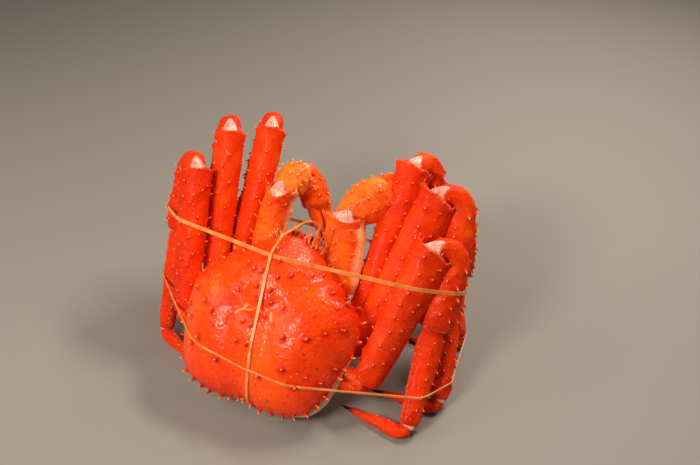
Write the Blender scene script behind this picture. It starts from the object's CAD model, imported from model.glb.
import itertools
import random
from math import asin, atan2, copysign, cos, degrees, exp, hypot, pi, radians, remainder, sin, sqrt, tau

import bmesh
import bpy
from mathutils import Matrix, Vector
from mathutils.bvhtree import BVHTree
from mathutils.kdtree import KDTree


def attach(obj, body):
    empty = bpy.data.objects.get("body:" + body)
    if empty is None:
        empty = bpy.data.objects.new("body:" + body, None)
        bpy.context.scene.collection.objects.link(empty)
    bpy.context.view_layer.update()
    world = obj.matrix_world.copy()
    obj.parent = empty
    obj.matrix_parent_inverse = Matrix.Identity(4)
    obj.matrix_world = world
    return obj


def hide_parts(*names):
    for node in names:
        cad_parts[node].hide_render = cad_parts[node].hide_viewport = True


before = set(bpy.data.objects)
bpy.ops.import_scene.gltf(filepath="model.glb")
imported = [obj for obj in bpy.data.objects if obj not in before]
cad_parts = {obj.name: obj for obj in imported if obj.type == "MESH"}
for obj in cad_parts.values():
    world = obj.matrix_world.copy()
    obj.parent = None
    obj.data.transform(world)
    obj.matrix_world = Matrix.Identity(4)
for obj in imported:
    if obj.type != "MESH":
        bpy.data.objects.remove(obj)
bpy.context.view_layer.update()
chance = random.Random(11)
draw = chance.uniform
print("frame loaded:", len(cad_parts), "nodes")

# The crab's own axes: x to its right, y towards its head, z out of its back. The lean is in degrees.
seat = {"place": (-0.0032, -0.0765, 0.08), "lean": 36}
body = Matrix.Translation(seat["place"]) @ Matrix.Rotation(radians(seat["lean"]), 4, "X")
bodyTurn = body.to_3x3()
forward = bodyTurn @ Vector((0, 1, 0))
up = bodyTurn @ Vector((0, 0, 1))
noBend = Vector((0, 0, 0))

# the photo's camera: place in metres, angles in degrees
view = {"place": (0.4352, -0.7463, 0.7567), "azimuth": 27, "elevation": 35, "width": 40}


def addObject(name, data):
    made = bpy.data.objects.new(name, data)
    bpy.context.scene.collection.objects.link(made)
    return made


def addCamera():
    a, e = radians(view["azimuth"]), radians(view["elevation"])
    back = Vector((sin(a) * cos(e), -cos(a) * cos(e), sin(e)))
    right = Vector((cos(a), sin(a), 0))
    camera = addObject("camera", bpy.data.cameras.new("camera"))
    camera.data.angle = radians(view["width"])
    camera.location = view["place"]
    camera.rotation_euler = Matrix((right, back.cross(right), back)).transposed().to_euler()
    bpy.context.scene.camera = camera


addCamera()

# what the boiled shell's material reads from a mesh
marks = ("spine", "pale", "dark", "tone")


def fromHex(code):
    values = [int(code[i:i + 2], 16) / 255 for i in (1, 3, 5)]
    return tuple(v / 12.92 if v <= 0.04045 else ((v + 0.055) / 1.055) ** 2.4 for v in values) + (1.0,)


def addNode(tree, kind, settings=None, links=None, stops=None):
    node = tree.nodes.new("ShaderNode" + kind)
    for name, value in (settings or {}).items():
        if isinstance(name, str) and hasattr(node, name):
            setattr(node, name, value)
        else:
            node.inputs[name].default_value = value
    for name, source in (links or {}).items():
        tree.links.new(source, node.inputs[name])
    if stops:
        elements = node.color_ramp.elements
        while len(elements) < len(stops):
            elements.new(1.0)
        for element, (place, value) in zip(elements, stops):
            element.position = place
            element.color = fromHex(value) if isinstance(value, str) else (value, value, value, 1)
    return node


def newMaterial(name, surface):
    material = bpy.data.materials.new(name)
    material.use_nodes = True
    shader = material.node_tree.nodes["Principled BSDF"]
    for key, value in surface.items():
        shader.inputs[key].default_value = value
    return material, material.node_tree, shader


def mixColour(tree, factor, first, second):
    node = addNode(tree, "Mix", {"data_type": "RGBA"})
    tree.links.new(factor, node.inputs[0])
    for index, value in ((6, first), (7, second)):
        if isinstance(value, str):
            node.inputs[index].default_value = fromHex(value)
        else:
            tree.links.new(value, node.inputs[index])
    return node.outputs[2]


def combine(tree, operation, first, second):
    return addNode(tree, "Math", {"operation": operation}, {0: first, 1: second}).outputs[0]


def pattern(tree, place, kind, mm, **settings):
    # a noise, cell or wave pattern whose marks are about so many mm across
    node = addNode(tree, kind, dict(settings, Scale=1000 / mm), {"Vector": place})
    return node.outputs["Distance" if kind == "TexVoronoi" else "Fac"]


def ramp(tree, source, stops):
    return addNode(tree, "ValToRGB", None, {"Fac": source}, stops).outputs["Color"]


def fade(tree, source, span, first, last):
    # a share that goes from the first value to the last over a span of the source
    return ramp(tree, source, ((span[0], first), (span[1], last)))


def addBump(tree, height, strength, depth, invert=False, **links):
    settings = {"Strength": strength, "Distance": depth, "invert": invert}
    return addNode(tree, "Bump", settings, dict(links, Height=height)).outputs["Normal"]


def addStrokes(tree, place, unevenness, base, look):
    # thin marks laid along the body's own x and y, the same at every height
    flat = addNode(tree, "Mapping", {"vector_type": "TEXTURE", "Location": seat["place"],
                                     "Rotation": (radians(seat["lean"]), 0, 0)}, {"Vector": place})
    for x, y, length, width, turn, strength, colour in look["strokes"]:
        mark = addNode(tree, "Mapping", {"vector_type": "TEXTURE", "Location": (x / 1000, y / 1000, 0),
                                         "Rotation": (0, 0, radians(turn)),
                                         "Scale": (length / 2000, width / 2000, look["strokeHeight"])},
                       {"Vector": flat.outputs["Vector"]})
        settings = {"gradient_type": "SPHERICAL"}
        soft = addNode(tree, "TexGradient", settings, {"Vector": mark.outputs["Vector"]}).outputs["Fac"]
        uneven = combine(tree, "MULTIPLY", soft, unevenness)
        base = mixColour(tree, fade(tree, uneven, look["strokeSpan"], 0.0, strength), base, colour)
    return base


def boiledShell(name, look):
    # Crab shell out of the boiling water: a hard, slightly clear skin over red pigment, wet all over,
    # with fine pits and low grains, darker red round each spine and cream where the pigment is thin.
    material, tree, shader = newMaterial(name, {
        "IOR": 1.45, "Specular IOR Level": look["sheen"], "Coat Weight": look["wet"],
        "Coat Roughness": look["wetRoughness"], "Coat IOR": 1.33, "Subsurface Weight": look["glow"],
        "Subsurface Radius": look["glowReach"], "Subsurface Scale": look["glowScale"]})
    place = addNode(tree, "TexCoord").outputs["Object"]
    spine, pale, dark, tone = (addNode(tree, "Attribute", {"attribute_name": mark}).outputs["Fac"]
                               for mark in marks)
    clouds = pattern(tree, place, "TexNoise", look["cloudMm"], Detail=4, Roughness=0.6)
    grain = pattern(tree, place, "TexNoise", look["grainMm"], Detail=3, Roughness=0.65)
    dots = pattern(tree, place, "TexVoronoi", look["dotMm"])
    pins = pattern(tree, place, "TexVoronoi", look["pinMm"])
    specks = pattern(tree, place, "TexVoronoi", look["speckMm"])
    colours = [look[key] for key in ("deep", "main", "light", "bright")]
    base = ramp(tree, combine(tree, "ADD", clouds, tone), tuple(zip(look["toneStops"], colours)))
    for source, span, first, last, colour in (
            (grain, look["grainSpan"], 0.0, look["grainShare"], look["grainColour"]),
            (dots, look["dotSpan"], look["dotShare"], 0.0, look["deep"]),
            (pins, look["pinSpan"], look["pinShare"], 0.0, look["pinColour"])):
        base = mixColour(tree, fade(tree, source, span, first, last), base, colour)
    if look["strokes"]:
        base = addStrokes(tree, place, grain, base, look)
    # cream areas have a soft, uneven edge and brown-red specks
    settings = {"operation": "MULTIPLY_ADD", 1: look["creamUneven"], 2: -look["creamUneven"] / 2}
    edge = combine(tree, "ADD", pale, addNode(tree, "Math", settings, {0: grain}).outputs[0])
    creamShare = fade(tree, edge, look["creamSpan"], 0.0, look["creamShare"])
    speckShare = fade(tree, specks, look["speckSpan"], look["speckShare"], 0.0)
    cream = mixColour(tree, speckShare, look["cream"], look["speckColour"])
    base = mixColour(tree, creamShare, base, cream)
    # a spine is dark red round its foot and cream at its tip
    footStops = [(at, share * look["footShare"]) for at, share in look["footStops"]]
    base = mixColour(tree, ramp(tree, spine, footStops), base, look["spineFoot"])
    base = mixColour(tree, fade(tree, spine, look["tipSpan"], 0.0, look["tipShare"]), base, look["spineTip"])
    base = mixColour(tree, fade(tree, dark, look["darkSpan"], 0.0, 1.0), base, look["darkColour"])
    tree.links.new(base, shader.inputs["Base Color"])
    rough = addNode(tree, "MapRange", {"To Min": look["gloss"], "To Max": look["dull"]}, {"Value": grain})
    tree.links.new(rough.outputs["Result"], shader.inputs["Roughness"])
    # broad dents, then the pattern of small cells, then the grain
    dents = pattern(tree, place, "TexNoise", look["dentMm"], Detail=2, Roughness=0.5)
    cells = pattern(tree, place, "TexVoronoi", look["cellMm"], feature="SMOOTH_F1", Smoothness=0.6)
    relief = addBump(tree, dents, look["dentStrength"], look["dentDepth"])
    relief = addBump(tree, cells, look["cellStrength"], look["pitDepth"], invert=True, Normal=relief)
    relief = addBump(tree, grain, look["grainStrength"], look["pitDepth"], Normal=relief)
    tree.links.new(relief, shader.inputs["Normal"])
    tree.links.new(relief, shader.inputs["Coat Normal"])
    return material


# Sizes of the patterns are in mm, depths in metres. A span is where in a pattern its mark fades.
# A stroke is its middle x and y, length and width in mm, turn in degrees, strength and colour.
shellLook = {
    "deep": "#e62600", "main": "#f63800", "light": "#fd4a00", "bright": "#ff6606",
    "cloudMm": 60, "toneStops": (0.3, 0.47, 0.66, 0.85),
    "grainMm": 2.6, "grainSpan": (0.42, 0.7), "grainShare": 0.22, "grainColour": "#ff7a2c",
    "dotMm": 7.5, "dotSpan": (0.1, 0.22), "dotShare": 0.3,
    "pinMm": 8, "pinSpan": (0.055, 0.11), "pinShare": 0.8, "pinColour": "#ffb060",
    "cream": "#f8c48c", "creamSpan": (0.36, 0.72), "creamShare": 0.92, "creamUneven": 0.55,
    "speckMm": 4.0, "speckSpan": (0.13, 0.24), "speckShare": 0.75, "speckColour": "#a5391a",
    "footStops": ((0.0, 0.0), (0.13, 1.0), (0.38, 0.5), (0.55, 0.0)), "footShare": 0.85,
    "spineFoot": "#c81602", "tipSpan": (0.5, 0.82), "tipShare": 0.95, "spineTip": "#ffa64a",
    "darkSpan": (0.25, 0.8), "darkColour": "#3a0d06",
    "gloss": 0.3, "dull": 0.52, "sheen": 0.24, "wet": 0.42, "wetRoughness": 0.07,
    "glow": 0.08, "glowReach": (0.006, 0.0014, 0.0006), "glowScale": 0.6,
    "dentMm": 7, "dentStrength": 0.75, "dentDepth": 0.0016,
    "cellMm": 2.4, "cellStrength": 0.34, "grainStrength": 0.2, "pitDepth": 0.0006,
    "strokeSpan": (0.08, 0.26), "strokeHeight": 10,
    "strokes": ((-13, 1, 14, 5.2, 75, 0.6, "#ffb868"), (-18, -6, 13, 5.0, 50, 0.55, "#ffb868"),
                (-8, -1, 20, 4.6, 14, 0.5, "#ffa858"), (9, 0.5, 19, 4.6, -6, 0.45, "#ffa858"),
                (19.5, -1, 17, 5.2, -66, 0.6, "#ffb868"), (-19, 22, 17, 4.4, 62, 0.45, "#ffa050"),
                (41.4, -34, 3.2, 2.8, 0, 0.9, "#3a0d06"), (66, -25, 3.2, 2.8, 0, 0.9, "#3a0d06"),
                (79.6, -32.5, 2.6, 2.4, 0, 0.8, "#3a0d06"), (43, 44, 11, 2.2, 20, 0.7, "#c81c00"),
                (43, 39, 11, 2.2, 20, 0.7, "#c81c00")),
}
limbLook = dict(
    shellLook, deep="#d01c00", main="#e42a00", light="#f23c00", bright="#fc5c04", cloudMm=44, dotMm=9,
    dotShare=0.2, cellStrength=0.2, gloss=0.46, dull=0.66, wet=0.05, sheen=0.14, footShare=0.35,
    spineTip="#ffc070", dentStrength=0.3, pinShare=0.6, strokes=())
clawLook = dict(limbLook, main="#f44a04", light="#fb6c10", bright="#ff9030", grainShare=0.4, wet=0.2)
knobLook = dict(clawLook, deep="#ea4000", main="#f8600a", light="#ff7c20", bright="#ffa048",
                grainColour="#ffa450")
underLook = dict(limbLook, deep="#e0683a", main="#f0a070", light="#f6c096", bright="#fbd9b6", cream="#f8cdb0",
                 dotShare=0.15, grainShare=0.25, grainColour="#e98a5c", cellStrength=0.1, glow=0.15)


def plainFinish(name, look):
    # a mottled colour over a fine relief, which is the mottling's own where no other is given
    material, tree, shader = newMaterial(name, look["surface"])
    place = addNode(tree, "TexCoord").outputs["Object"]
    mottling = pattern(tree, place, **look["mottling"])
    tree.links.new(ramp(tree, mottling, look["colours"]), shader.inputs["Base Color"])
    height = pattern(tree, place, **look["relief"]) if "relief" in look else mottling
    tree.links.new(addBump(tree, height, look["strength"], look["depth"]), shader.inputs["Normal"])
    return material


# arthrodial membrane: cooked soft skin, pinkish white, matt where dry and wet in the folds
skinLook = {
    "mottling": {"kind": "TexNoise", "mm": 6, "Detail": 4},
    "colours": ((0.28, "#cf5f50"), (0.46, "#ee988b"), (0.72, "#fac6ba")),
    "relief": {"kind": "TexWave", "mm": 9, "Distortion": 6.0, "Detail": 2}, "strength": 0.4, "depth": 0.0007,
    "surface": {"Roughness": 0.38, "Coat Weight": 0.35, "Coat Roughness": 0.12, "Subsurface Weight": 0.25,
                "Subsurface Radius": (0.006, 0.002, 0.0012), "Subsurface Scale": 0.5},
}
# natural rubber band: amber, slightly clear when stretched, satin, with fine cutting marks
rubberLook = {
    "mottling": {"kind": "TexNoise", "mm": 12, "Detail": 3},
    "colours": ((0.3, "#d47432"), (0.55, "#ea944e"), (0.75, "#f8b070")),
    "relief": {"kind": "TexNoise", "mm": 0.9, "Detail": 2}, "strength": 0.25, "depth": 0.0002,
    "surface": {"Roughness": 0.42, "Subsurface Weight": 0.3, "Subsurface Radius": (0.004, 0.002, 0.001),
                "Subsurface Scale": 0.5},
}
# cornea after boiling: a clouded, dull grey-purple dome with a fine facet pattern
corneaLook = {
    "mottling": {"kind": "TexVoronoi", "mm": 0.5}, "colours": ((0.0, "#4a3a44"), (0.7, "#241a22")),
    "strength": 0.15, "depth": 0.0001, "surface": {"Roughness": 0.35, "Coat Weight": 0.2},
}
# stiff chitin bristles and feelers: thin, clear orange, mottled darker and lighter
bristleLook = {
    "mottling": {"kind": "TexNoise", "mm": 4, "Detail": 3},
    "colours": ((0.32, "#c9350c"), (0.52, "#f0681e"), (0.72, "#ffa552")),
    "strength": 0.3, "depth": 0.0002, "surface": {"Roughness": 0.35, "Coat Weight": 0.3},
}
finishes = {
    "shell": boiledShell("boiledBackShell", shellLook),
    "limb": boiledShell("boiledLegShell", limbLook),
    "claw": boiledShell("boiledClawShell", clawLook),
    "knob": boiledShell("boiledClawWrist", knobLook),
    "under": boiledShell("boiledUnderShell", underLook),
    "skin": plainFinish("jointSkin", skinLook),
    "band": plainFinish("amberRubber", rubberLook),
    "eye": plainFinish("cloudedCornea", corneaLook),
    "feeler": plainFinish("bristleOrange", bristleLook),
}
print("materials made:", len(finishes))


def newMesh():
    bm = bmesh.new()
    for name in marks:
        bm.verts.layers.float.new(name)
    return bm


def turnOutwards(bm):
    bmesh.ops.recalc_face_normals(bm, faces=bm.faces)
    if bm.calc_volume(signed=True) < 0:
        bmesh.ops.reverse_faces(bm, faces=bm.faces)


def addMesh(name, bm, material):
    mesh = bpy.data.meshes.new(name)
    bm.to_mesh(mesh)
    bm.free()
    mesh.materials.append(material)
    return addObject(name, mesh)


def finishPiece(name, bm, finish, node=None, smooth=2):
    turnOutwards(bm)
    piece = addMesh(name, bm, finishes[finish])
    piece.data.shade_smooth()
    if smooth:
        rounding = piece.modifiers.new("rounding", "SUBSURF")
        rounding.levels = rounding.render_levels = smooth
    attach(piece, "root")
    if node:
        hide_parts(node)


def easeBetween(stations, t, column=1):
    if t <= stations[0][0]:
        return stations[0][column]
    for low, high in zip(stations, stations[1:]):
        if t <= high[0]:
            share = (t - low[0]) / (high[0] - low[0])
            ease = 0.5 - 0.5 * cos(pi * share)
            return low[column] + (high[column] - low[column]) * ease
    return stations[-1][column]


def clamp(value):
    return max(0.0, min(1.0, value))


def hill(value, middle, width):
    return exp(-((value - middle) / width) ** 2)


# Steps up a spine: how far along it, width left, colour mark. A short grain takes every second step.
# Lengths are in metres: a grain is no longer than "grain", and a free face is looked for within "reach".
spineForm = {
    "steps": ((0.1, 0.84, 0.2), (0.32, 0.6, 0.36), (0.62, 0.4, 0.62), (0.9, 0.22, 0.92),
              (1.04, 0.08, 1.0)),
    "grain": 0.003, "reach": 0.008, "tries": 6, "footMark": 0.1,
}


def freeFace(tree, faces, point, used):
    for centre, index, distance in tree.find_n(point, spineForm["tries"]):
        face = faces[index]
        near = distance < spineForm["reach"]
        if face.is_valid and len(face.verts) == 4 and near and not used.intersection(face.verts):
            return face, centre
    return None, None


def growSpines(bm, places):
    # a place is (point, lean, length, foot radius, bend): the nearest free face is moved there and drawn out
    turnOutwards(bm)
    tree = KDTree(len(bm.faces))
    faces = list(bm.faces)
    for index, face in enumerate(faces):
        tree.insert(face.calc_center_median(), index)
    tree.balance()
    mark = bm.verts.layers.float["spine"]
    used = set()
    for point, lean, length, foot, bend in places:
        face, centre = freeFace(tree, faces, point, used)
        if face is None:
            continue
        used.update(face.verts)
        normal = face.normal.copy()
        shift = point - centre
        shift -= normal * shift.dot(normal)
        middle = centre + shift
        tall = length > spineForm["grain"]
        for vert in face.verts:
            out = vert.co - centre
            vert.co = middle + out.normalized() * foot + normal * out.dot(normal)
            vert[mark] = spineForm["footMark"] if tall else 0.0
        way = (normal + lean).normalized()
        side = bend - way * bend.dot(way)
        spread = [vert.co - middle for vert in face.verts]
        for rise, width, shade in spineForm["steps"] if tall else spineForm["steps"][1::2]:
            face = bmesh.ops.extrude_discrete_faces(bm, faces=[face])["faces"][0]
            foremost = middle + way * length * rise + side * length * rise * rise
            for vert, out in zip(face.verts, spread):
                vert.co = foremost + out * width
                vert[mark] = shade


backShell = {
    "width": 0.2, "dome": 0.047, "steepness": 2.7, "edge": 0.6, "slope": 0.13, "upturn": 0.75, "lip": 0.003,
    "cells": 48, "rimShare": 0.9, "rimPale": 0.9,
    # half outline: angle from the head, share of half the width
    "outline": ((0, 0.96), (12, 0.92), (22, 0.9), (32, 0.86), (41, 0.84), (50, 0.9), (57, 0.89),
        (66, 1.0), (78, 1.04), (90, 1.02), (104, 0.99), (114, 1.01), (126, 1.05), (135, 1.07), (146, 1.03),
        (155, 0.98), (164, 0.93), (172, 0.87), (180, 0.84)),
    # raised regions and grooves: x, y, height, spread across, spread along
    "regions": ((0.0, 0.046, 0.008, 0.028, 0.03), (0.0, -0.026, 0.0045, 0.014, 0.02),
        (0.056, -0.016, 0.007, 0.03, 0.04), (0.066, 0.034, 0.003, 0.014, 0.014),
        (0.0, 0.004, -0.0048, 0.02, 0.006), (0.024, 0.012, -0.0042, 0.01, 0.009),
        (0.042, 0.032, -0.0048, 0.009, 0.014), (0.046, 0.056, -0.004, 0.009, 0.014),
        (0.023, -0.026, -0.0032, 0.006, 0.024), (0.0, -0.056, -0.0024, 0.016, 0.01),
        (0.04, -0.07, -0.003, 0.028, 0.009)),
    # fine furrows that only the render shows
    "furrows": ((0.013, 0.0, -0.0016, 0.006, 0.003), (0.016, -0.012, -0.0018, 0.0028, 0.01),
        (0.034, 0.052, -0.0016, 0.004, 0.01), (0.043, 0.041, -0.0016, 0.006, 0.0028),
        (0.06, 0.05, -0.0016, 0.008, 0.003), (0.052, 0.012, 0.0012, 0.01, 0.01),
        (0.0, 0.03, -0.0012, 0.0025, 0.024), (0.06, -0.046, -0.0014, 0.014, 0.004)),
    # low ridges in from the rear rim's spines: height, degrees from one to the next, angle where they start
    "ridgeHeight": 0.0007, "ridgeEvery": 5, "ridgesFrom": 105,
    # x, y, length in mm, as on the one in the picture
    "spines": ((8, 56, 8), (-8, 57, 7), (-5, 39, 7), (13.6, 38.5, 9), (-14, 40, 7), (25, 46, 6),
        (-25, 46, 6), (-5, 24, 7), (11, 24, 9), (-27, 15, 8), (0, 12, 6), (-58, -7, 8), (-45, -14.5, 12),
        (30, 11.5, 9), (15, 13, 5), (42, -17, 12), (63.5, -11, 13), (-6, -15, 8), (4, -16, 8), (13, -2.5, 5),
        (-7, -35, 9), (4, -35.5, 9), (-54, -44, 10), (-62.5, -51, 9), (-27, -59, 11), (25, -60, 11),
        (49, -47, 11), (64, -58, 11), (72, -45, 4), (83, 40, 9), (91, 13, 7), (92, -25, 7), (-78, 6, 8),
        (-74, -26, 8), (48, 61, 6), (41, 56, 5), (-48, 60, 6), (66, 46, 6), (-66, 46, 6), (-80, 24, 7),
        (78, 2, 6), (-84, -12, 7), (84, -44, 7), (-40, 66, 5), (0, 68, 7)),
    # length and foot radius of those spines in metres, worked out from their lengths in mm
    "spineScale": 0.00062, "spineFoot": 0.0022, "footGrowth": 0.00022,
    # angle from the head, length in mm
    "marginSpines": ((6, 9), (18, 12), (31, 8), (48, 13), (58, 10), (66, 9), (75, 11), (84, 8), (93, 9),
        (102, 8), (109, 10), (116, 8), (122, 11), (129, 8), (136, 9), (143, 10), (150, 8), (157, 10),
        (164, 8), (171, 9), (178, 8)),
    # their length in metres for each mm, foot radius, how far in from the rim and how far above it they stand
    "marginScale": 0.0007, "marginFoot": 0.0046, "marginInset": 0.001, "marginLift": 0.002,
    # x, y, height, length, foot radius in mm, lift of each spine of the beak
    "beak": ((0, 84, 26, 24, 4.4, 0.1), (5.5, 78, 33, 13, 2.4, 0.75), (-5.5, 78, 33, 13, 2.4, 0.75),
        (11, 79, 29, 12, 2.4, 0.45), (-11, 79, 29, 12, 2.4, 0.45), (18, 77, 25, 11, 2.6, 0.3),
        (-18, 77, 25, 11, 2.6, 0.3), (0, 72, 39, 10, 2.4, 0.9)),
    # low grains between the spines: how many, height and foot radius of the largest
    "grains": 160, "grainHeight": 0.0013, "grainFoot": 0.0019,
}


def outlineRadius(angle):
    turn = abs(degrees(atan2(sin(angle), cos(angle))))
    return easeBetween(backShell["outline"], turn) * backShell["width"] / 2


def polar(angle, radius):
    return sin(angle) * radius, cos(angle) * radius


def marginHeight(y):
    return backShell["slope"] * y + backShell["upturn"] * max(0.0, y) ** 2


def shellHeight(x, y):
    share = min(1.0, hypot(x, y) / outlineRadius(atan2(x, y)))
    dome = backShell["dome"] * (1 - share ** backShell["steepness"]) ** backShell["edge"]
    relief = 0.0
    for cx, cy, height, across, along in backShell["regions"] + backShell["furrows"]:
        for side in (1, -1) if cx else (1,):
            relief += height * exp(-((x - side * cx) / across) ** 2 - ((y - cy) / along) ** 2)
    turn = abs(degrees(atan2(x, y)))
    wave = 0.5 + 0.5 * cos(tau * turn / backShell["ridgeEvery"])
    ridges = backShell["ridgeHeight"] * wave * hill(share, 0.93, 0.06)
    relief += ridges * clamp((turn - backShell["ridgesFrom"]) / 10)
    return marginHeight(y) + dome + relief * (1 - share ** 6)


def squareToRound(x, y):
    # square grid to disc, so that the shell has no pole on its top
    return x * sqrt(1 - y * y / 2), y * sqrt(1 - x * x / 2)


def rimPoint(angle):
    # the foot of a spine at the shell's rim, at an angle from the head
    x, y = polar(angle, outlineRadius(angle) - backShell["marginInset"])
    return body @ Vector((x, y, marginHeight(y) + backShell["marginLift"]))


def extrudeRim(bm):
    rim = [edge for edge in bm.edges if edge.is_boundary]
    made = bmesh.ops.extrude_edge_only(bm, edges=rim)["geom"]
    return set(part for part in made if isinstance(part, bmesh.types.BMVert))


def shapeShell(bm):
    cells = backShell["cells"]
    bmesh.ops.create_grid(bm, x_segments=cells, y_segments=cells, size=1)
    lip, inner = extrudeRim(bm), extrudeRim(bm)
    bmesh.ops.holes_fill(bm, edges=[edge for edge in bm.edges if edge.is_boundary], sides=0)
    pale, tone = (bm.verts.layers.float[mark] for mark in ("pale", "tone"))
    for vert in bm.verts:
        u, v = squareToRound(vert.co.x, vert.co.y)
        angle = atan2(u, v)
        share = backShell["rimShare"] if vert in inner else min(1.0, hypot(u, v))
        x, y = polar(angle, outlineRadius(angle) * share)
        if vert in lip or vert in inner:
            vert.co = body @ Vector((x, y, marginHeight(y) - backShell["lip"]))
            vert[pale] = backShell["rimPale"]
        else:
            vert.co = body @ Vector((x, y, shellHeight(x, y)))
            # lighter half way out, darker at the rim, and uneven from side to side
            vert[tone] = 0.1 * hill(share, 0.55, 0.3) - 0.1 * share ** 8 + 0.05 * sin(x * 60)


def shellSpines(bm):
    tree = BVHTree.FromBMesh(bm)

    def onTop(x, y):
        return tree.ray_cast(body @ Vector((x, y, 0.3)), -up)[0]

    places = []
    for x, y, length in backShell["spines"]:
        foot = backShell["spineFoot"] + length * backShell["footGrowth"]
        places.append((onTop(x / 1000, y / 1000), forward * 0.2, length * backShell["spineScale"], foot,
                       forward * 0.1))
    for turn, length in backShell["marginSpines"]:
        for side in (1, -1):
            angle = side * radians(turn + draw(-1, 1))
            out = bodyTurn @ Vector((sin(angle), cos(angle) + 0.2, 0.1)).normalized()
            places.append((rimPoint(angle), out * 3.0, length * backShell["marginScale"],
                           backShell["marginFoot"], up * 0.2 + forward * 0.1))
    for _ in range(backShell["grains"]):
        angle, share = draw(0, tau), sqrt(draw(0.0, 0.96))
        point = onTop(*polar(angle, outlineRadius(angle) * share))
        if point:
            size = draw(0.5, 1.0)
            places.append((point, forward * 0.1, backShell["grainHeight"] * size,
                           backShell["grainFoot"] * size, noBend))
    return places


def beakSpines():
    # between the eyes, spread a little sideways
    for x, y, z, length, foot, lift in backShell["beak"]:
        lean = bodyTurn @ Vector((x * 0.012, 1, lift)) * 3
        yield body @ Vector((x / 1000, y / 1000, z / 1000)), lean, length / 1000, foot / 1000, up * 0.15


def makeBackShell():
    bm = newMesh()
    shapeShell(bm)
    growSpines(bm, shellSpines(bm))
    growSpines(bm, beakSpines())
    finishPiece("backShell", bm, "shell", "carapace")


makeBackShell()
print("back shell made")

# How each leg is folded, as in the source of the part: hip on the body; length, heading and rise of merus and
# carpus; length and heading of propodus and dactylus, which come down to set heights; the angles round the
# merus, in degrees, of its notch and its pale strip.
legPoses = {
    "left": {
        2: ((0.085, 0.041, -0.047), (0.188, 1, 56), (0.092, 102, -73), (0.134, 122), (0.068, 205), 10, -92),
        3: ((0.1, 0.018, -0.036), (0.192, 13, 59), (0.094, 106, -77), (0.136, 153), (0.07, 236), 10, -92),
        4: ((0.113, -0.016, -0.018), (0.168, 16, 59), (0.092, 118, -72), (0.118, 193), (0.072, 246), 10, -92),
    },
    "right": {
        2: ((0.076, 0.045, -0.053), (0.186, 5, 50), (0.088, 63, -75), (0.132, 131), (0.07, 250), -20, -160),
        3: ((0.094, 0.017, -0.043), (0.188, 16, 48), (0.094, 131, -65), (0.136, 165), (0.078, 262), -38, 170),
        4: ((0.116, -0.024, -0.028), (0.165, 17, 48), (0.09, 157, -66), (0.105, 174), (0.082, 272), -42, 168),
    },
}
# the same for the claws: hip, merus, carpus, palm with its fixed finger, notch, pale strip
clawPoses = {
    "left": ((0.0515, 0.061, -0.025), (0.094, -8, 59), (0.044, -2, -6), (0.082, -112, -62), 0, -118),
    "right": ((0.052, 0.062, -0.029), (0.088, -20, 56), (0.054, 38, 16), (0.092, -73, -38), -84, -156),
}
legForm = {
    "merus": "merus", "carpus": "carpus", "kneeRadius": 0.015, "kneeDepth": 0.013, "tilt": 0.34,
    "ankleRadius": 0.01, "ankleHeight": 0.0145, "toeHeight": 0.003, "finish": "limb", "wristFinish": "limb",
    # joint skins: inner and outer segment, reach inside the first, length of the tongue on the second
    "joints": (("merus", "carpus", 0.07, 0.13), ("carpus", "propodus", 0.03, 0.0),
               ("propodus", "dactylus", 0.03, 0.0)),
    # half sizes in the fold plane and across it
    "sizes": {
        "left": {"ischium": (0.0165, 0.014), "merus": (0.0218, 0.017), "carpus": (0.019, 0.0158),
                 "propodus": (0.0152, 0.012), "dactylus": (0.0086, 0.007)},
        "right": {"ischium": (0.017, 0.0145), "merus": (0.023, 0.0182), "carpus": (0.0198, 0.0168),
                  "propodus": (0.0156, 0.0126), "dactylus": (0.0086, 0.007)},
    },
}
clawForm = {
    "merus": "clawMerus", "carpus": "clawCarpus", "kneeRadius": 0.008, "kneeDepth": 0.006, "tilt": 0.0,
    # the free finger: where it starts along the palm, how far aside its root and tip are, in half breadths
    "palmShift": 0.46, "fingerAt": 0.5, "fingerRoot": 0.4, "fingerTip": 0.18,
    "finish": "claw", "wristFinish": "knob",
    "joints": (("merus", "carpus", 0.1, 0.12), ("carpus", "palm", 0.04, 0.0)),
    "sizes": {
        "left": {"ischium": (0.014, 0.0115), "merus": (0.0195, 0.018), "carpus": (0.02, 0.018),
                 "palm": (0.021, 0.015), "finger": (0.0075, 0.0068)},
        "right": {"ischium": (0.015, 0.012), "merus": (0.0235, 0.0215), "carpus": (0.0245, 0.0225),
                  "palm": (0.0265, 0.018), "finger": (0.009, 0.0078)},
    },
}
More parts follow.
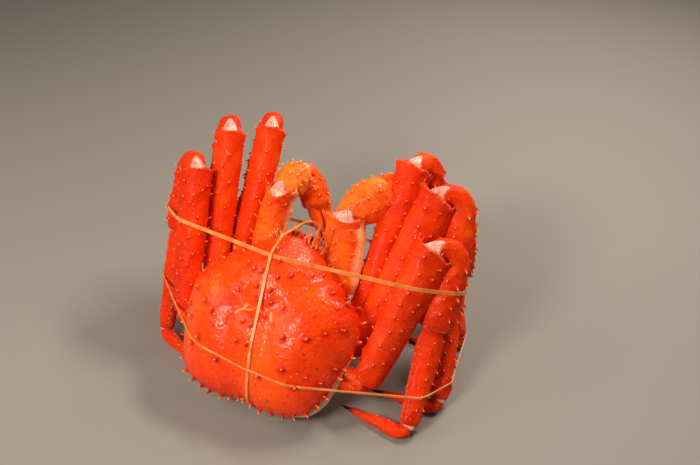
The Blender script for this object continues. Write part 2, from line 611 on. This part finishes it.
limb = {
    # where each limb leaves the body; how far its first segment reaches past the hip, a share of its length;
    # the least height of any limb
    "roots": {1: (0.04, 0.042, -0.034), 2: (0.046, 0.022, -0.038), 3: (0.05, -0.002, -0.038),
              4: (0.05, -0.028, -0.034)},
    "hipOverlap": 0.04, "lowest": 0.0004,
    # 1 is an oval and less is squarer; the inner half of a bend is no wider than this share of its radius
    "squareness": 0.92, "bendShare": 0.86,
    # share of the half size in the fold plane and across it, from the root (0) to the tip (1)
    "profiles": {
        "ischium": ((0, 1.0, 1.0), (0.5, 0.97, 0.97), (1, 0.86, 0.86)),
        "merus": ((0, 0.62, 0.7), (0.07, 0.76, 0.8), (0.28, 0.86, 0.9), (0.6, 0.96, 0.98),
            (0.84, 1.01, 1.01), (0.92, 0.99, 0.99), (1, 1.06, 1.04)),
        "carpus": ((0, 0.56, 0.66), (0.1, 0.62, 0.74), (0.22, 0.7, 0.82), (0.34, 0.78, 0.9),
            (0.6, 0.94, 0.98), (0.86, 1.08, 1.04), (1, 0.92, 0.92)),
        "propodus": ((0, 0.72, 0.78), (0.08, 0.92, 0.94), (0.3, 1.0, 1.0), (0.65, 0.86, 0.9),
            (0.92, 0.74, 0.8), (1, 0.66, 0.7)),
        "dactylus": ((0, 0.8, 0.84), (0.12, 1.0, 1.0), (0.28, 0.96, 0.96), (0.5, 0.74, 0.76),
            (0.76, 0.44, 0.48), (0.95, 0.16, 0.18), (1, 0.05, 0.05)),
        "palm": ((0, 0.52, 0.62), (0.12, 0.82, 0.86), (0.32, 1.0, 1.0), (0.5, 0.94, 0.94),
            (0.62, 0.5, 0.74), (0.82, 0.36, 0.54), (0.96, 0.18, 0.28), (1, 0.06, 0.1)),
        "finger": ((0, 0.86, 0.86), (0.2, 1.05, 1.05), (0.55, 0.82, 0.86), (0.88, 0.42, 0.46),
            (1, 0.1, 0.12)),
        "clawMerus": ((0, 0.62, 0.66), (0.12, 0.82, 0.84), (0.5, 0.97, 0.97), (0.74, 1.02, 1.01),
            (0.86, 0.95, 0.95), (1, 1.07, 1.05)),
        "clawCarpus": ((0, 0.56, 0.6), (0.25, 0.86, 0.88), (0.55, 1.04, 1.02), (0.85, 0.94, 0.94),
            (1, 0.66, 0.68)),
    },
}
signOf = {"left": -1, "right": 1}


def heading(side, turn, rise):
    h, r = radians(turn), radians(rise)
    return Vector((sin(h) * cos(r) * signOf[side], cos(h) * cos(r), sin(r)))


def onBody(side, point):
    return body @ Vector((point[0] * signOf[side], point[1], point[2]))


class Tube:
    # a segment: an arc at its root, then a straight run, with an oval section
    def __init__(self, kind, root, tip, sizes, plane=None, axis=None, radius=0.0, tilt=0.0, shift=0.0):
        self.kind, self.root, self.radius, self.tilt, self.shift = kind, root, radius, tilt, shift
        self.breadth, self.thickness = sizes
        self.detail = dict(limbDetail["any"], **limbDetail[kind])
        reach = tip - root
        self.first = (axis or reach).normalized()
        if axis and radius:
            self.plane = self.first.cross(reach).normalized()
            ahead, aside = reach.dot(self.first), reach.dot(self.plane.cross(self.first))
            straight = sqrt(hypot(ahead, aside - radius) ** 2 - radius ** 2)
            self.turn = atan2(aside - radius, ahead) + atan2(radius, straight)
            self.length = radius * self.turn + straight
        else:
            self.plane = (plane - self.first * plane.dot(self.first)).normalized()
            self.turn = 0.0
            self.length = reach.length

    def line(self, t):
        fold = self.plane.cross(self.first)
        run, arc = t * self.length, self.radius * self.turn
        angle = min(run, arc) / self.radius if self.turn else 0.0
        axis = self.first * cos(angle) + fold * sin(angle)
        outer = self.first * sin(angle) - fold * cos(angle)
        bent = (self.first * sin(angle) + fold * (1 - cos(angle))) * self.radius
        return self.root + bent + axis * max(0.0, run - arc), axis, outer

    def skin(self, t, angle, share=1.0):
        middle, axis, outer = self.line(t)
        profile = limb["profiles"][self.kind]
        breadth = self.breadth * easeBetween(profile, t, 1)
        thickness = self.thickness * easeBetween(profile, t, 2)
        slide = self.shift * self.breadth * clamp((t - 0.5) / 0.12)
        bend = self.radius * self.turn
        if bend and t * self.length < bend and cos(angle) < 0:
            breadth = min(breadth, self.radius * limb["bendShare"])
        lean = self.tilt * self.breadth * (1 - cos(angle)) * max(0.0, t - 0.8) / 0.2
        c, s = cos(angle), sin(angle)
        c, s = (copysign(abs(part) ** limb["squareness"], part) for part in (c, s))
        middle = middle + outer * (c * breadth * share + slide)
        return middle + self.plane * s * thickness * share - axis * lean


# Rows of spines: angles from the outer edge, number, length in mm, first and last place along. Rim spines:
# angles from the notch, length in mm. The notch is a dip in a merus's rim: depth in half breadths, width in
# radians. Pale strip: width in radians, share. Dark tip: where it starts, over how far, share.
limbDetail = {
    "any": {"rim": (), "notch": (0.0, 1.0), "pale": (0.5, 0.5), "rimPale": 0.0, "leastPale": 0.0,
            "dark": (1.0, 1.0, 0.0), "tipTone": 0.0},
    "merus": {"around": 16, "rings": 24, "grains": 46, "rows": (
        ((0,), 5, 5.0, 0.16, 0.9), ((58, -58), 8, 6.0, 0.1, 0.93), ((100, -100), 7, 5.0, 0.12, 0.93),
        ((28,), 5, 3.2, 0.12, 0.86), ((-28,), 5, 3.2, 0.18, 0.9), ((150, -150), 3, 3.0, 0.3, 0.9)),
        "rim": (((76, -76), 7.0), ((52, -52, 104, -104), 4.5), ((6,), 3.0), ((28, -24), 3.5)),
        "notch": (0.2, 0.62), "pale": (0.46, 0.95), "rimPale": 0.4},
    "carpus": {"around": 16, "rings": 20, "grains": 30, "rows": (
        ((0,), 5, 7.5, 0.28, 0.94), ((38, -38), 5, 8.0, 0.32, 0.95), ((78, -78), 5, 7.0, 0.34, 0.95),
        ((115, -115), 3, 5.0, 0.4, 0.92)), "rimPale": 0.4},
    "propodus": {"around": 14, "rings": 20, "grains": 30, "rows": (
        ((0,), 8, 6.5, 0.06, 0.92), ((48, -48), 6, 4.6, 0.08, 0.9), ((96, -96), 5, 4.0, 0.1, 0.9),
        ((180,), 4, 4.0, 0.2, 0.9))},
    "dactylus": {"around": 12, "rings": 18, "grains": 8, "rows": (((150, -150), 4, 2.2, 0.25, 0.62),),
                 "dark": (0.72, 0.2, 1.0), "tipTone": 0.1},
    "ischium": {"around": 14, "rings": 10, "grains": 10, "leastPale": 0.35,
                "rows": (((0,), 2, 4.5, 0.45, 0.85), ((60, -60), 2, 4, 0.5, 0.85))},
    "clawMerus": {"around": 16, "rings": 16, "grains": 30, "rows": (
        ((0,), 3, 6.0, 0.2, 0.86), ((52, -52), 4, 7.0, 0.18, 0.88), ((98, -98), 4, 5.0, 0.2, 0.9)),
        "rim": (((78, -78), 7.5), ((58, -58, 100, -100), 5.0)),
        "notch": (0.5, 0.8), "pale": (0.95, 1.0), "rimPale": 0.4},
    "clawCarpus": {"around": 16, "rings": 14, "grains": 26, "rows": (
        ((0,), 4, 6.5, 0.2, 0.9), ((34, -34), 4, 7.5, 0.22, 0.9), ((70, -70), 4, 7.0, 0.22, 0.9),
        ((110, -110), 3, 5.0, 0.25, 0.85))},
    "palm": {"around": 16, "rings": 22, "grains": 40, "dark": (0.86, 0.12, 0.9), "rows": (
        ((0,), 5, 5.5, 0.1, 0.62), ((36, -36), 5, 6.0, 0.1, 0.6), ((76, -76), 4, 5.5, 0.12, 0.55),
        ((120, -120), 3, 4.0, 0.14, 0.45))},
    "finger": {"around": 10, "rings": 14, "grains": 4, "dark": (0.86, 0.12, 0.9),
               "rows": (((0,), 3, 3.0, 0.15, 0.6),)},
}
segmentForm = {
    # caps: size of each ring from the rim inwards and how far it is sunk; skin comes out of an open one
    "openCap": ((0.86, 0.0), (0.5, 0.05)), "roundCap": ((0.8, 0.0), (0.4, 0.0)),
    "tipBulge": 0.35, "rootBulge": -0.25,
    # spines: play of place (share of a step) and angle (degrees), sizes drawn, share of the listed length,
    # foot radius and its growth with length, lean towards the segment's tip
    "slip": 0.3, "swing": 9, "sizes": (0.65, 1.2), "stretch": 0.62, "foot": 0.0015, "footGrowth": 0.24,
    "lean": 0.3, "rimSwing": 4, "rimAt": 0.965, "rimFoot": 0.0014, "rimGrowth": 0.00024, "rimLean": 1.3,
    "grainRun": (0.06, 0.95), "grainTurn": 2.2, "grainSizes": (0.6, 1.0),
    "grainHeight": 0.0015, "grainFoot": 0.0014,
}


def roundRod(around, rings):
    # a closed rod of unit size from z = 0 to z = 1, and its two caps
    bm = newMesh()
    bmesh.ops.create_cone(bm, cap_ends=True, cap_tris=False, segments=around, radius1=1, radius2=1, depth=1)
    bmesh.ops.translate(bm, verts=bm.verts, vec=(0, 0, 0.5))
    for index in range(1, rings):
        bmesh.ops.bisect_plane(bm, geom=bm.verts[:] + bm.edges[:] + bm.faces[:],
                               plane_co=(0, 0, index / rings), plane_no=(0, 0, 1))
    return bm, [face for face in bm.faces if len(face.verts) == around]


def closeCaps(bm, caps, openEnd):
    for cap in caps:
        hollow = openEnd and cap.calc_center_median().z > 0.5
        for size, sink in segmentForm["openCap" if hollow else "roundCap"]:
            cap = bmesh.ops.extrude_discrete_faces(bm, faces=[cap])["faces"][0]
            for vert in cap.verts:
                flat = Vector((vert.co.x, vert.co.y, 0)).normalized() * size
                vert.co = Vector((flat.x, flat.y, vert.co.z - sink))


def shapeSegment(bm, tube, notchAt, paleAt):
    # bends the rod along the tube and marks its colours
    detail = tube.detail
    depth, wide = detail["notch"]
    paleWide, paleTop = detail["pale"]
    darkFrom, darkOver, darkTop = detail["dark"]
    pale, dark, tone = (bm.verts.layers.float[mark] for mark in ("pale", "dark", "tone"))
    shade = draw(-0.04, 0.06)
    for vert in bm.verts:
        t, share = clamp(vert.co.z), min(1.0, hypot(vert.co.x, vert.co.y))
        angle = atan2(vert.co.y, vert.co.x)
        away, offNotch = (abs(remainder(angle - radians(turn), tau))
                          for turn in (paleAt, notchAt))
        axis = tube.line(t)[1]
        vert.co = tube.skin(t, angle, share)
        if share < 0.99 and not (depth and t > 0.5):
            bulge = segmentForm["tipBulge" if t > 0.5 else "rootBulge"]
            vert.co += axis * bulge * tube.thickness * (1 - share)
        rimPale = clamp((t - 0.965) / 0.03) * detail["rimPale"]
        vert[pale] = max(clamp(1.25 - away / paleWide) * paleTop, rimPale, detail["leastPale"])
        vert[dark] = clamp((t - darkFrom) / darkOver) * darkTop
        # lighter on the outer edge, darker at both ends
        ends = 0.1 * clamp((0.12 - t) / 0.12) + 0.08 * clamp((t - 0.9) / 0.1)
        vert[tone] = shade + 0.1 * cos(angle) - ends - detail["tipTone"] * t
        if depth:
            # the rim of a merus dips between its corner points, so that the joint skin shows
            dip = hill(offNotch, 0, wide) * clamp((t - 0.8) / 0.2)
            vert.co -= axis * depth * tube.breadth * dip
            flare = hill(offNotch, 1.35, 0.3) * clamp((t - 0.86) / 0.14)
            vert.co += axis * 0.16 * tube.breadth * flare
            vert[tone] -= 0.16 * hill(t, 0.88, 0.04) * hill(offNotch, 0, 1.1)


def segmentSpines(tube, notchAt):
    form = segmentForm
    places = []
    for angles, count, length, first, last in tube.detail["rows"]:
        for turn, index in itertools.product(angles, range(count)):
            t = first + (last - first) * (index + 0.5 + draw(-form["slip"], form["slip"])) / count
            angle = radians(turn + draw(-form["swing"], form["swing"]))
            size = length * draw(*form["sizes"]) / 1000
            lean = tube.line(t)[1] * form["lean"]
            places.append((tube.skin(t, angle), lean, size * form["stretch"],
                           form["foot"] + size * form["footGrowth"], lean))
    for angles, length in tube.detail["rim"]:
        for turn in angles:
            angle = radians(notchAt + turn + draw(-form["rimSwing"], form["rimSwing"]))
            axis = tube.line(form["rimAt"])[1]
            places.append((tube.skin(form["rimAt"], angle), axis * form["rimLean"], length / 1000,
                           form["rimFoot"] + length * form["rimGrowth"], axis * 0.2))
    for _ in range(tube.detail["grains"]):
        t, angle = draw(*form["grainRun"]), draw(-form["grainTurn"], form["grainTurn"])
        size = draw(*form["grainSizes"])
        places.append((tube.skin(t, angle), tube.line(t)[1] * 0.2, form["grainHeight"] * size,
                       form["grainFoot"] * size, noBend))
    return places


def makeSegment(name, node, tube, finish, notchAt=0, paleAt=180):
    bm, caps = roundRod(tube.detail["around"], tube.detail["rings"])
    closeCaps(bm, caps, tube.detail["notch"][0] > 0)
    shapeSegment(bm, tube, notchAt, paleAt)
    growSpines(bm, segmentSpines(tube, notchAt))
    for vert in bm.verts:
        vert.co.z = max(vert.co.z, limb["lowest"])
    finishPiece(name, bm, finish, node)


# Joint skin: steps, sizes at its two ends (shares of the segments'), dip below a notch and its width, overlap
# on the next segment, width of the tongue there, swelling in metres. Widths are in radians.
sleeve = {"around": 16, "steps": 5, "inside": 0.8, "outside": 1.045, "dip": 0.3, "dipWidth": 0.6,
          "overlap": 0.03, "tongueWidth": 0.55, "swell": 0.0012}


def bridgeRings(bm, rings):
    for low, high in zip(rings, rings[1:]):
        edges = [edge for ring in (low, high) for vert in ring for edge in vert.link_edges
                 if edge.other_vert(vert) in ring]
        bmesh.ops.bridge_loops(bm, edges=list(dict.fromkeys(edges)))


def jointSleeve(bm, inner, outer, reach, tongue, notchAt):
    # soft skin from inside the rim of one segment to the root of the next, with a tongue up its outer side
    rings = []
    for step in range(sleeve["steps"] + 1):
        share = step / sleeve["steps"]
        ease = share * share * (3 - 2 * share)
        made = bmesh.ops.create_circle(bm, cap_ends=False, segments=sleeve["around"], radius=1)["verts"]
        for vert in made:
            angle = atan2(vert.co.y, vert.co.x)
            offNotch = remainder(angle - radians(notchAt), tau)
            low = inner.skin(1 - reach * (1 - share), angle, sleeve["inside"])
            if inner.detail["notch"][0]:
                dip = inner.line(1)[1] * inner.breadth * sleeve["dip"]
                low -= dip * hill(offNotch, 0, sleeve["dipWidth"])
            cover = sleeve["overlap"] + tongue * hill(offNotch, 0, sleeve["tongueWidth"])
            high = outer.skin(0.01 + share * cover, angle, sleeve["outside"])
            swell = outer.line(0.05)[2] * sleeve["swell"] * sin(pi * share) * cos(angle)
            vert.co = low.lerp(high, ease) + swell
        rings.append(made)
    bridgeRings(bm, rings)
    for ring in (rings[0], rings[-1]):
        edges = [edge for vert in ring for edge in vert.link_edges if edge.is_boundary]
        bmesh.ops.holes_fill(bm, edges=list(dict.fromkeys(edges)), sides=0)


def makeLimb(name, node, tubes, form, notchAt, paleAt):
    for part, tube in tubes.items():
        turns = (notchAt, paleAt) if part == "merus" else (0, 180)
        makeSegment("%s.%s" % (name, part), "%s_%s" % (node, part), tube,
                    form["wristFinish" if part == "carpus" else "finish"], *turns)
    bm = newMesh()
    for first, second, reach, tongue in form["joints"]:
        jointSleeve(bm, tubes[first], tubes[second], reach, tongue, notchAt if first == "merus" else 0)
    finishPiece(name + ".jointSkin", bm, "skin")


def foldLimb(side, number, form, hipPlace, merusPose, carpusPose):
    # the segments from the body to the wrist, alike in legs and claws
    sizes = form["sizes"][side]
    hip = onBody(side, hipPlace)
    thigh = heading(side, *merusPose[1:])
    knee = hip + thigh * merusPose[0]
    wrist = knee + heading(side, *carpusPose[1:]) * carpusPose[0]
    carpus = Tube(form["carpus"], knee - thigh * form["kneeDepth"], wrist, sizes["carpus"], axis=thigh,
                  radius=form["kneeRadius"])
    merus = Tube(form["merus"], hip, knee, sizes["merus"], plane=carpus.plane, tilt=form["tilt"])
    root = onBody(side, limb["roots"][number])
    ischium = Tube("ischium", root, hip.lerp(root, -limb["hipOverlap"]), sizes["ischium"], plane=forward)
    return {"ischium": ischium, "merus": merus, "carpus": carpus}, wrist


def stepDown(side, start, drop, length, turn):
    return start + heading(side, turn, degrees(asin(drop / length))) * length


def makeLeg(side, number, hip, merus, carpus, propodus, dactylus, notch, pale):
    sizes = legForm["sizes"][side]
    tubes, wrist = foldLimb(side, number, legForm, hip, merus, carpus)
    ankle = stepDown(side, wrist, legForm["ankleHeight"] - wrist.z, *propodus)
    toe = stepDown(side, ankle, legForm["toeHeight"] - legForm["ankleHeight"], *dactylus)
    tubes["propodus"] = Tube("propodus", wrist, ankle, sizes["propodus"], plane=tubes["carpus"].plane)
    tubes["dactylus"] = Tube("dactylus", ankle, toe, sizes["dactylus"], axis=tubes["propodus"].line(1)[1],
                             radius=legForm["ankleRadius"])
    makeLimb("%sLeg%d" % (side, number), "%s_leg%d" % (side, number), tubes, legForm, notch, pale)


def makeClaw(side, hip, merus, carpus, palm, notch, pale):
    sizes = clawForm["sizes"][side]
    tubes, wrist = foldLimb(side, 1, clawForm, hip, merus, carpus)
    tip = wrist + heading(side, *palm[1:]) * palm[0]
    palm = Tube("palm", wrist, tip, sizes["palm"], axis=tubes["carpus"].line(1)[1],
                radius=clawForm["kneeRadius"], shift=clawForm["palmShift"])
    start, _, outer = palm.line(clawForm["fingerAt"])
    rootAside, tipAside = (outer * clawForm[key] * palm.breadth for key in ("fingerRoot", "fingerTip"))
    tubes["palm"] = palm
    tubes["finger"] = Tube("finger", start - rootAside, tip - tipAside, sizes["finger"], plane=palm.plane)
    makeLimb("%sClaw" % side, "%s_claw" % side, tubes, clawForm, notch, pale)


for side, poses in legPoses.items():
    for number, pose in poses.items():
        makeLeg(side, number, *pose)
print("walking legs made")
for side, pose in clawPoses.items():
    makeClaw(side, *pose)
print("claws made")


# chest: shares of the shell's half width, angles in degrees from the head, the rest in metres
underBody = {
    "depth": 0.042, "inset": 0.965, "gap": 0.0003, "cells": 36, "skirt": 0.002,
    # the flanks stand out below the rear corners of the shell: how far, angle, spread, how low
    "flank": 0.055, "flankAt": 122, "flankSpread": 30, "flankDrop": 0.006,
    # grooves between the plates that carry the legs: depth, and in mm the step, width and slant outwards
    "groove": 0.0016, "grooveEvery": 24, "grooveWidth": 2.6, "grooveSlant": 120,
}
# tail flap, folded forward under the chest, in metres
tailFlap = {
    "thickness": 0.0115, "width": 0.112, "start": -0.086, "end": 0.03, "cells": (22, 34), "sunk": 0.0026,
    "thinning": 0.35, "furrow": 0.005, "furrowWidth": 0.012, "plate": 0.022, "plateSwell": 0.0009,
    "seam": 0.0012, "grains": 60, "grainHeight": 0.002, "grainFoot": 0.0018,
}


def chestDepth(share, angle):
    return underBody["depth"] * max(0.0, 1 - share ** (3.2 + 2.5 * sin(angle) ** 2)) ** 0.75


def gridSheet(across, along):
    # a closed sheet of two layers, and the points of the layer that was drawn out
    bm = newMesh()
    bmesh.ops.create_grid(bm, x_segments=across, y_segments=along, size=1)
    made = bmesh.ops.extrude_face_region(bm, geom=bm.faces[:])["geom"]
    return bm, set(part for part in made if isinstance(part, bmesh.types.BMVert))


def makeChest():
    form = underBody
    bm, roof = gridSheet(form["cells"], form["cells"])
    pale = bm.verts.layers.float["pale"]
    for vert in bm.verts:
        u, v = squareToRound(vert.co.x, vert.co.y)
        share, angle = min(1.0, hypot(u, v)), atan2(u, v)
        flank = hill(abs(degrees(angle)), form["flankAt"], form["flankSpread"])
        bulge = 0.0 if vert in roof else form["flank"] * flank * clamp((share - 0.6) / 0.4)
        x, y = polar(angle, outlineRadius(angle) * (share * form["inset"] + bulge))
        level = marginHeight(y) - backShell["lip"] - form["gap"]
        if vert not in roof:
            level -= form["flankDrop"] * flank * clamp((share - 0.8) / 0.2)
            along = (y * 1000 - form["grooveSlant"] * abs(x)) % form["grooveEvery"]
            groove = form["groove"] * hill(along, form["grooveEvery"] / 2, form["grooveWidth"])
            level -= form["skirt"] + chestDepth(share, angle) - groove * clamp(share * 2)
        vert.co = body @ Vector((x, y, level))
        vert[pale] = 0.75 * clamp(share * 1.6)
    finishPiece("chest", bm, "under", "thorax")


def makeTailFlap():
    form = tailFlap
    bm, lower = gridSheet(*form["cells"])
    pale = bm.verts.layers.float["pale"]
    for vert in bm.verts:
        u, along = vert.co.x, (vert.co.y + 1) / 2
        y = form["start"] + (form["end"] - form["start"]) * along
        x = u * form["width"] / 2 * sin(pi * (0.16 + 0.74 * along)) ** 0.6
        angle = atan2(x, y)
        share = min(0.99, min(1.0, hypot(x, y) / outlineRadius(angle)) / underBody["inset"])
        z = marginHeight(y) - backShell["lip"] - 2 * underBody["gap"]
        z -= form["sunk"] + chestDepth(share, angle)
        if vert in lower:
            plates = form["plateSwell"] * sin(tau * (y - form["start"]) / form["plate"])
            seam = form["seam"] * hill((y - form["start"]) % form["plate"], form["plate"] / 2, 0.0016)
            furrow = form["furrow"] * exp(-((x / form["furrowWidth"]) ** 4))
            edge = 1 - form["thinning"] * (abs(x) / (form["width"] / 2)) ** 4
            z -= form["thickness"] * edge + plates - furrow - seam
            vert[pale] = 0.25 + 0.3 * hill(x, 0, 0.02)
        vert.co = body @ Vector((x, y, z))
        vert.co.z = max(vert.co.z, 0.0)
    tree = BVHTree.FromBMesh(bm)
    places = []
    for _ in range(form["grains"]):
        x, y = draw(-0.046, 0.046), draw(-0.08, 0.02)
        spot = tree.ray_cast(body @ Vector((x, y, -0.3)), up)[0]
        # none where the flap stands on the floor
        if spot and spot.z > 0.004:
            places.append((spot, forward * 0.1, form["grainHeight"], form["grainFoot"], noBend))
    growSpines(bm, places)
    finishPiece("tailFlap", bm, "under", "tail_flap")


makeChest()
makeTailFlap()
print("chest and tail made")


# places on the right-hand side of the body in metres; profiles are pairs of share along and radius
head = {
    "eyeRoot": (0.008, 0.086, 0.01), "eyeTip": (0.0125, 0.103, 0.014), "eyeRadius": 0.0036,
    "eyeStretch": (0.92, 0.85, 1.25), "eyeAt": 0.8,
    "stalk": ((0, 0.0036), (0.35, 0.003), (0.62, 0.0034), (0.72, 0.0026)),
    # the feeler runs inwards, forwards and in a rise and fall
    "feelerRoot": (0.0205, 0.083, -0.003), "feelerRun": (-0.02, 0.052, 0.022), "feelerRings": 40,
    "feeler": ((0, 0.0042), (0.1, 0.0044), (0.2, 0.0038), (0.3, 0.003), (0.34, 0.0014), (1, 0.0005)),
    # bristles: number, start and size of the field they stand in, lengths and widths drawn
    "bristles": 34, "bristleField": ((0.012, 0.02), (0.08, 0.014), (0.002, 0.018)),
    "bristleLengths": (0.01, 0.024), "bristleWidths": (0.0009, 0.0018),
    "bristle": ((0, 1.2), (0.3, 1.0), (0.6, 0.7), (0.85, 0.35), (1, 0.08)),
    "mouthRoot": (0.014, 0.076, -0.02), "mouthTip": (0.01, 0.108, -0.004), "mouthSizes": (0.0072, 0.006),
    "hairs": 60, "hairLengths": (0.004, 0.009), "hair": ((0, 0.0004), (0.5, 0.0003), (1, 0.0001)),
}


def stick(bm, points, radii, around):
    # a round tapering rod through the points, capped
    made = []
    for index, (point, radius) in enumerate(zip(points, radii)):
        ahead = points[min(index + 1, len(points) - 1)] - points[max(index - 1, 0)]
        turn = ahead.to_track_quat("Z", "Y").to_matrix().to_4x4()
        made.append(bmesh.ops.create_circle(bm, cap_ends=False, segments=around, radius=radius,
                                            matrix=Matrix.Translation(point) @ turn)["verts"])
    bridgeRings(bm, made)
    for ring in (made[0], made[-1]):
        bmesh.ops.contextual_create(bm, geom=ring)


def makeEye(side):
    root, tip = onBody(side, head["eyeRoot"]), onBody(side, head["eyeTip"])
    shares, radii = zip(*head["stalk"])
    bm = newMesh()
    stick(bm, [root.lerp(tip, share) for share in shares], radii, 10)
    finishPiece("%sEyeStalk" % side, bm, "limb")
    bm = newMesh()
    bmesh.ops.create_icosphere(bm, subdivisions=2, radius=head["eyeRadius"])
    bmesh.ops.scale(bm, verts=bm.verts, vec=head["eyeStretch"])
    turn = (tip - root).to_track_quat("Z", "Y").to_matrix().to_4x4()
    bmesh.ops.transform(bm, verts=bm.verts, matrix=Matrix.Translation(root.lerp(tip, head["eyeAt"])) @ turn)
    finishPiece("%sEye" % side, bm, "eye", "%s_eye" % side)


def makeFeeler(side):
    start = onBody(side, head["feelerRoot"])
    inwards, ahead, rise = head["feelerRun"]
    points, radii = [], []
    for index in range(head["feelerRings"] + 1):
        t = index / head["feelerRings"]
        points.append(start + Vector((signOf[side] * inwards * t, ahead * t, rise * sin(3.0 * t))))
        radii.append(easeBetween(head["feeler"], t) * (1 + (0.1 if index % 2 else -0.06)))
    bm = newMesh()
    stick(bm, points, radii, 8)
    finishPiece("%sFeeler" % side, bm, "feeler", "%s_antenna" % side, 1)


def makeBristles(side):
    # the bristles round the feeler's base
    shares, widths = zip(*head["bristle"])
    bm = newMesh()
    for _ in range(head["bristles"]):
        foot = onBody(side, [low + size * chance.random() for low, size in head["bristleField"]])
        way = Vector((signOf[side] * draw(-0.4, 0.6), draw(0.6, 1.2), draw(0.1, 1.0)))
        way = (bodyTurn @ way).normalized()
        length = draw(*head["bristleLengths"])
        bend = Vector((0, 0, 1)) * draw(-0.3, 0.3)
        width = draw(*head["bristleWidths"])
        stick(bm, [foot + (way + bend * share) * length * share for share in shares],
              [width * part for part in widths], 6)
    finishPiece("%sFeelerBristles" % side, bm, "feeler", smooth=1)


def makeMouthLeg(side):
    root, tip = onBody(side, head["mouthRoot"]), onBody(side, head["mouthTip"])
    tube = Tube("propodus", root, tip, head["mouthSizes"], plane=Vector((1, 0, 0)))
    makeSegment("%sMouthLeg" % side, "%s_mouth_leg" % side, tube, "claw")
    shares, radii = zip(*head["hair"])
    bm = newMesh()
    for _ in range(head["hairs"]):
        t, angle = draw(0.15, 1.0), draw(-pi, pi)
        foot = tube.skin(t, angle)
        middle, axis, _ = tube.line(t)
        way = ((foot - middle).normalized() + axis * draw(0.3, 1.2)).normalized()
        length = draw(*head["hairLengths"])
        stick(bm, [foot + way * length * share for share in shares], radii, 4)
    finishPiece("%sMouthHairs" % side, bm, "feeler", smooth=0)


for side in ("left", "right"):
    makeEye(side)
    makeFeeler(side)
    makeBristles(side)
    makeMouthLeg(side)
print("eyes, feelers and mouth made")

for name in ("band_front", "band_lengthwise", "band_rear"):
    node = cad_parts[name]
    node.data.materials.clear()
    node.data.materials.append(finishes["band"])

# Floor and light. Each lamp: name, place and size in metres, power in watts; all look at the target.
studio = {
    "floor": "#8b8784", "floorSize": 3, "sky": (1.0, 0.98, 0.95, 1), "skyStrength": 0.06,
    "warm": (1.0, 0.88, 0.72), "target": (0, 0, 0.1),
    "lamps": (("keyLight", (0.35, 0.55, 1.1), (0.5, 0.16), 12),
              ("fillLight", (-0.9, -0.5, 0.9), (0.7, 0.7), 6),
              ("backLight", (0.1, 1.2, 0.7), (0.8, 0.3), 5),
              ("frontLight", (-0.15, -1.05, 0.95), (0.4, 0.3), 15)),
}


def addFloor():
    # plain matt board
    material, _, _ = newMaterial("paleFloor", {"Base Color": fromHex(studio["floor"]), "Roughness": 0.7})
    bm = bmesh.new()
    bmesh.ops.create_grid(bm, x_segments=1, y_segments=1, size=studio["floorSize"])
    floor = addMesh("floor", bm, material)


def addLight():
    world = bpy.data.worlds.new("room")
    world.use_nodes = True
    background = world.node_tree.nodes["Background"]
    background.inputs["Color"].default_value = studio["sky"]
    background.inputs["Strength"].default_value = studio["skyStrength"]
    bpy.context.scene.world = world
    for name, place, size, power in studio["lamps"]:
        lamp = bpy.data.lights.new(name, "AREA")
        lamp.shape = "RECTANGLE"
        lamp.size, lamp.size_y = size
        lamp.energy = power
        lamp.color = studio["warm"]
        light = addObject(name, lamp)
        light.location = place
        light.rotation_euler = (Vector(place) - Vector(studio["target"])).to_track_quat("Z", "Y").to_euler()


addFloor()
addLight()
bpy.context.scene.view_settings.view_transform = "Standard"
print("studio made")
